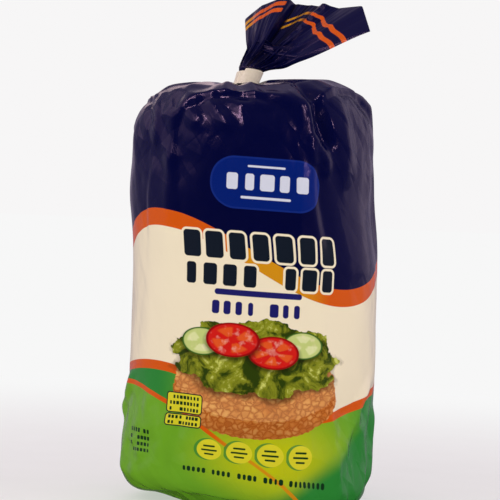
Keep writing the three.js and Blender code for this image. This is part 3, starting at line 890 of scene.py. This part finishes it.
    def titles(self, ground):  # plain dark blocks in place of words
        for row in titleRows:
            ground = self.lay(ground, "cream", self.blocks(row, grow=titleRim))
        for row in titleRows:
            ground = self.lay(ground, "ink", self.blocks(row))
        ground = self.lay(ground, "softInk", self.block(*titleBar))
        return self.lay(ground, "softInk", self.blocks(subtitleRow))

    def grains(self, flat):  # puffed grains with dark crevices between them
        paint = self.paint
        warp = paint.noise(flat, 0.35, 2.0) * dish["grainWarp"]
        warped = paint.vector(self.x + warp, self.y * dish["grainTall"] + warp)
        place = {"Vector": warped, "Scale": dish["grainScale"]}
        crevice = paint.node("ShaderNodeTexVoronoi", {"feature": "DISTANCE_TO_EDGE"}, place)
        tone = paint.node("ShaderNodeTexVoronoi", {}, place, output=1)
        colour = self.lay(ink("cakeTan"), "cakePale", tone)
        toasted = paint.step(paint.noise(flat, 0.13), 0.45, 0.7) * dish["toast"]
        colour = self.lay(colour, "cakeToast", toasted)
        colour = paint.over(ink("cakeGap"), colour, paint.step(crevice, 0.0, 0.34))
        return paint.over(ink("cakeDeep"), colour, paint.step(crevice, -0.03, 0.06))

    def leaves(self, flat):  # folded green leaves with pale ribs
        paint = self.paint
        fold = paint.noise(flat, 0.1, 4.0, 0.55, 1.8)
        fine = paint.noise(flat, 0.5, 3.0, 0.6, 1.0)
        colour = self.lay(ink("leafFold"), "leafFace", paint.step(fold + fine * 0.16, 0.46, 0.66))
        return self.lay(colour, "leafRib", paint.step(fold + fine * 0.3, 0.72, 0.86))

    def slice(self, ground, x, y, r, tint, chambers):  # a round slice seen at a slant
        paint, flat = self.paint, dish["slant"]
        dx, dy = (self.x - x) / r, (self.y - y) / (r * flat)
        far = (dx * dx + dy * dy) ** 0.5
        turn = dy.math("ARCTAN2", dx)
        lobes = paint.step((turn * chambers + x).cos(), -0.5, 0.2)
        inner = lobes * paint.window(far, (0.16, 0.3), (0.66, 0.8))
        under = self.disc(x, y - 1.1, r * 1.05, r * (flat + 0.04), soft=1.6)
        ground = self.lay(ground, "sliceShade", under * dish["sliceShade"])
        ground = self.lay(ground, tint + "Rind", self.disc(x, y, r, r * flat))
        ground = self.lay(ground, tint + "Flesh", 1 - paint.step(far, 0.86, 0.95))
        ground = self.lay(ground, tint + "Seeds", inner * dish["seedStrength"])
        shine = paint.step(self.grain, 0.52, 0.7) * (1 - paint.step(far, 0.7, 0.95))
        return self.lay(ground, "wetShine", shine * dish["shine"])

    def dish(self, ground):  # a plain pictured snack: a puffed cake under leaves and round slices
        paint, x = self.paint, dish["x"]
        flat = paint.vector(self.x, self.y)
        rough = paint.noise(flat, 0.42, 2.0) - 0.5
        grains = self.grains(flat)
        edge = rough * dish["cakeRough"]
        y, rx, ry = dish["cake"]
        side = self.lay(grains, "cakeSide", paint.step(self.y, y - 2, y - ry) * dish["sideShade"])
        ground = paint.over(ground, side, self.disc(x, y, rx, ry, wobble=edge))
        y, rx, ry = dish["top"]
        top = self.lay(grains, "cakeTop", dish["topPale"])
        ground = paint.over(ground, top, self.disc(x, y, rx, ry, wobble=edge))
        turn = (self.y - dish["frillMiddle"]).math("ARCTAN2", (self.x - x) * dish["frillFlat"])
        waves = turn * dish["frillCount"] + paint.noise(flat, 0.12) * dish["frillDrift"]
        frill = waves.sin() * dish["frill"] + rough * dish["frillRough"]
        y, rx, ry = dish["leaf"]
        under = self.disc(x, y - 2, rx, ry, wobble=frill, soft=2.4)
        ground = self.lay(ground, "leafShade", under * dish["leafShade"])
        ground = paint.over(ground, self.leaves(flat), self.disc(x, y, rx, ry, wobble=frill))
        for at, up, r, isRed, chambers in dish["slices"]:
            ground = self.slice(ground, at, up, r, "red" if isRed else "pale", chambers)
        return ground

    def crinkles(self, fanStart):  # flat facets of the film, with straight creases between them
        paint = self.paint
        total = 0.0
        for turn, wide, tall, weight in crinkle["layers"]:
            c, s = math.cos(math.radians(turn)), math.sin(math.radians(turn))
            turned = self.x * c + self.length * s, self.length * c - self.x * s
            place = paint.vector(turned[0] / wide, turned[1] / tall)
            cells = paint.node("ShaderNodeTexVoronoi", {
                "voronoi_dimensions": "2D", "feature": "SMOOTH_F1", "distance": "MANHATTAN"},
                {"Vector": place, "Scale": 1.0, "Smoothness": crinkle["round"]})
            total = cells * weight + total
        loose = paint.step(self.length, *slack["shoulder"]) + (1 - paint.step(self.length, *slack["foot"]))
        loose = (loose * (1 - slack["tight"]) + slack["tight"]).clip()
        loose = loose * (1 - paint.step(self.length, *slack["crest"]) * slack["crestLess"])
        pleats = paint.noise(paint.vector(self.x * 0.11, self.length * 0.02), 1.0, 2.0)
        inFan = self.inFan(fanStart)
        gathered = 1 - paint.step(self.across, *crinkle["smoothFrom"]) * crinkle["smoother"]
        creased = total * loose * (1 - inFan * crinkle["facetsLess"])
        return creased + pleats * inFan * gathered * crinkle["fan"]

    def inFan(self, fanStart):
        low, high = crinkle["fanEdge"]
        return self.paint.step(self.length, fanStart + low, fanStart + high)

    def badgeRow(self, ground):  # plain discs, each with lines of small blocks
        fromFirst = self.x - badges["first"]
        number = (fromFirst / badges["pitch"] + 0.5).floor().most(0.0).least(badges["count"] - 1.0)
        local = fromFirst - number * badges["pitch"]
        y, radius = badges["y"], badges["radius"]
        left, wider, strength = badges["shade"]
        ground = self.lay(ground, "darkGreen", self.disc(left, y, radius * wider, px=local) * strength)
        ground = self.lay(ground, "yellow", self.disc(0, y, radius, px=local))
        for up, width in badges["bars"]:
            bar = self.block(0, y + up, width, badges["barHeight"], badges["barCorner"], px=local)
            ground = self.lay(ground, "badgeBars", bar)
        return ground

    def smallMarks(self, ground):  # a label in two parts, and lines of small blocks
        x, width, rim = label["x"], label["width"], 2 * label["rim"]
        for y, height in label["parts"]:
            ground = self.lay(ground, "ink", self.block(x, y, width, height, label["corner"]))
            inner = self.block(x, y, width - rim, height - rim, label["innerCorner"])
            ground = self.lay(ground, "yellow", inner)
        for row in smallRows:
            ground = self.lay(ground, "marks", self.blocks(row))
        return ground


def paintFilm(film, lengths, fanStart):
    paint = Paint(bpy.data.materials.new("printedFilm"))
    sheet = FilmPrint(paint, lengths)
    colour = sheet.ground()
    colour = sheet.fanStripes(colour, fanStart)
    colour = sheet.plate(colour)
    colour = sheet.titles(colour)
    colour = sheet.dish(colour)
    colour = sheet.badgeRow(colour)
    colour = sheet.smallMarks(colour)
    where = paint.node("ShaderNodeTexCoord", output=3)
    finish = filmFinish
    fine = paint.noise(where, finish["grain"], 3.0)
    bumps = paint.node("ShaderNodeBump", {}, {
        "Strength": 1.0, "Distance": crinkle["depth"] * mm,
        "Height": sheet.crinkles(fanStart) + fine * crinkle["grain"]})
    rough = fine * finish["grainRough"] + finish["rough"] + sheet.inFan(fanStart) * finish["fanRough"]
    paint.shader(**{
        "Base Color": colour, "Roughness": rough, "IOR": finish["ior"],
        "Specular Tint": finish["tint"], "Normal": bumps})
    film.data.materials.append(paint.owner)
    print("print on the film:", len(paint.tree.nodes), "nodes")


# The tie

tieBand = {
    "bottom": 169.7, "top": 175.1, "radius": 4.95, "flare": 0.25, "thickness": 0.5, "lap": 0.6,
    "lapFrom": -38, "lapSlant": 20, "lapTo": 125, "lapRise": 0.7, "lapSoft": (3, 12),
    "groove": 0.25, "grooveWidth": 6, "waist": 0.12, "wave": 0.08, "around": 144, "rings": 14,
    "edge": 0.1, "grain": 900.0, "grainBump": 0.3, "grainDepth": 0.2, "rough": 0.5,
    "cream": (226, 212, 190), "pale": (246, 236, 216),
}


def makeTie(shift):
    band = tieBand
    nothingSelected()
    bpy.ops.mesh.primitive_grid_add(x_subdivisions=band["around"], y_subdivisions=band["rings"], size=1)
    tie = bpy.context.object
    tie.name = "tieBand"
    (soft, softEnd), end = band["lapSoft"], band["lapTo"]
    for vertex in tie.data.vertices:  # the strip is wound into a ring that leans with the neck
        azimuth = 360 * vertex.co.x
        share = vertex.co.y + 0.5
        start = band["lapFrom"] + band["lapSlant"] * share
        lap = window(azimuth, (start - soft, start + soft), (end - softEnd, end + softEnd))
        groove = band["groove"] * bump(azimuth, start - band["grooveWidth"], band["grooveWidth"])
        wave = band["wave"] * math.sin(math.radians(azimuth * 5) + share * 3)
        waist = wave - band["waist"] * math.sin(math.pi * share)
        radius = band["radius"] + band["lap"] * lap + waist - groove + band["flare"] * (share - 0.5)
        height = lerp(band["bottom"], band["top"] + band["lapRise"] * lap, share)
        vertex.co = (Vector(neckRing(azimuth, radius, height)) + Vector(shift)) * mm
    closeSeam()
    solid = tie.modifiers.new("wall", "SOLIDIFY")
    solid.thickness = band["thickness"] * mm
    solid.offset = -1
    edge = tie.modifiers.new("edge", "BEVEL")
    edge.width = band["edge"] * mm
    edge.segments = 2
    for name in ("wall", "edge"):
        bpy.ops.object.modifier_apply(modifier=name)
    bpy.ops.object.shade_smooth_by_angle(angle=math.radians(50))
    paint = Paint(bpy.data.materials.new("creamTie"))
    where = paint.node("ShaderNodeTexCoord", output=3)
    grain = paint.noise(where, band["grain"], 3.0)
    colour = paint.over(linear(*band["cream"]), linear(*band["pale"]), grain)
    bumps = paint.node("ShaderNodeBump", {}, {
        "Strength": band["grainBump"], "Distance": band["grainDepth"] * mm, "Height": grain})
    paint.shader(**{"Base Color": colour, "Roughness": band["rough"], "Normal": bumps})
    tie.data.materials.append(paint.owner)
    print("tie:", len(tie.data.polygons), "faces")
    return tie


# Floor and lights

studio = {
    "floor": (236, 234, 231), "floorPale": (243, 242, 240), "floorSpeck": 40.0, "floorRough": 0.8,
    "floorSize": 40, "floorDrop": 0.0002, "floorGlow": 0.5, "fade": (0.12, 0.6),
    "worldSeen": 0.93, "seenColour": (1, 0.99, 0.992), "aim": (0, 0, 0.1),
    # the room round the pack: dark in front and below, paler to the sides and behind
    "roomColour": (0.9, 0.74, 1), "dim": 0.01, "pale": 0.39, "side": (-0.95, 0.2), "up": (-0.35, 0.05),
}
# name: place, size, watts, colour. A soft lamp only lights, and a sheen is only seen in the film.
lamps = {
    "softFront": ((-0.25, -1.4, 1.1), (2.2, 1.5), 17, (1, 0.94, 0.87)),
    "softLeft": ((-1.3, -0.4, 0.75), (1.5, 1.5), 8, (1, 0.93, 0.88)),
    "softRight": ((1.3, -0.5, 0.75), (1.5, 1.5), 10.5, (1, 0.93, 0.88)),
    "softBack": ((0.1, 1.3, 1.6), (1.6, 1.0), 5, (1, 0.93, 0.92)),
    "sheenTop": ((-0.95, -1.1, 1.5), (1.0, 0.8), 3.8, (1, 0.64, 0.78)),
    "sheenKey": ((-0.6, -0.95, 1.15), (0.05, 0.9), 9, (1, 0.66, 0.76)),
    "sheenLeft": ((-1.5, -0.1, 1.05), (2.4, 1.5), 9, (1, 0.7, 0.85)),
    "sheenFacet": ((-1.1, -1.1, 1.0), (0.7, 0.7), 3, (1, 0.7, 0.8)),
    "sheenBack": ((-0.42, 1.6, 0.75), (0.9, 0.5), 1.1, (1, 0.72, 0.66)),
    "sheenRight": ((1.4, 0.75, 0.6), (1.3, 1.2), 2.4, (1, 0.78, 0.86)),
    "sheenSide": ((1.1, -0.95, 0.7), (0.05, 0.5), 4, (1, 0.66, 0.76)),
}


def makeStudio():
    nothingSelected()
    bpy.ops.mesh.primitive_plane_add(size=studio["floorSize"], location=(0, 0, -studio["floorDrop"]))
    floor = bpy.context.object
    floor.name = "floor"
    paint = Paint(bpy.data.materials.new("paleFloor"))
    where = paint.node("ShaderNodeTexCoord", output=3)
    speck = paint.noise(where, studio["floorSpeck"], 3.0)
    pale = paint.over(linear(*studio["floor"]), linear(*studio["floorPale"]), speck)
    near = paint.shader(**{"Base Color": pale, "Roughness": studio["floorRough"]})
    level = studio["worldSeen"]
    far = paint.node("ShaderNodeEmission", {}, {"Color": (level, level, level, 1)})
    reach = paint.node("ShaderNodeVectorMath", {"operation": "LENGTH"}, {0: where}, output=1)
    away = paint.step(reach, *studio["fade"]) * (1 - studio["floorGlow"]) + studio["floorGlow"]
    mixed = paint.node("ShaderNodeMixShader", {}, {0: away, 1: near, 2: far})
    paint.plug(paint.output.inputs["Surface"], mixed)
    floor.data.materials.append(paint.owner)
    floor.visible_glossy = False

    world = bpy.data.worlds.new("studio")
    bpy.context.scene.world = world
    sky = Paint(world, "ShaderNodeOutputWorld")

    def light(colour, strength):
        return sky.node("ShaderNodeBackground", {}, {"Color": (*colour, 1), "Strength": strength})

    direction = sky.node("ShaderNodeSeparateXYZ", {}, {0: sky.node("ShaderNodeTexCoord")}, output=1)
    up = Signal(sky, direction.socket.node.outputs[2])
    glow = sky.step(direction, *studio["side"]) * sky.step(up, *studio["up"])
    dim, pale = (light(studio["roomColour"], studio[name]) for name in ("dim", "pale"))
    room = sky.node("ShaderNodeMixShader", {}, {0: glow, 1: dim, 2: pale})
    seen = light(studio["seenColour"], level)
    isSeen = sky.node("ShaderNodeLightPath")
    both = sky.node("ShaderNodeMixShader", {}, {0: isSeen, 1: room, 2: seen})
    sky.plug(sky.output.inputs["Surface"], both)

    for name, (place, size, watts, colour) in lamps.items():
        data = bpy.data.lights.new(name, "AREA")
        data.shape = "RECTANGLE"
        data.size, data.size_y = size
        data.energy = watts
        data.color = colour
        lamp = bpy.data.objects.new(name, data)
        lamp.visible_glossy = name.startswith("sheen")
        lamp.visible_diffuse = name.startswith("soft")
        lamp.visible_camera = False
        bpy.context.scene.collection.objects.link(lamp)
        lamp.location = place
        away = Vector(place) - Vector(studio["aim"])
        lamp.rotation_euler = away.to_track_quat("Z", "Y").to_euler()
    bpy.context.scene.view_settings.view_transform = "Standard"
    print("studio:", len(lamps), "lamps")


makeCamera()
film, lengths, fanStart, shift = makeFilm()
paintFilm(film, lengths, fanStart)
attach(film, "root")
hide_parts("bag")
tie = makeTie(shift)
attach(tie, "root")
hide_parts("tie")
makeStudio()
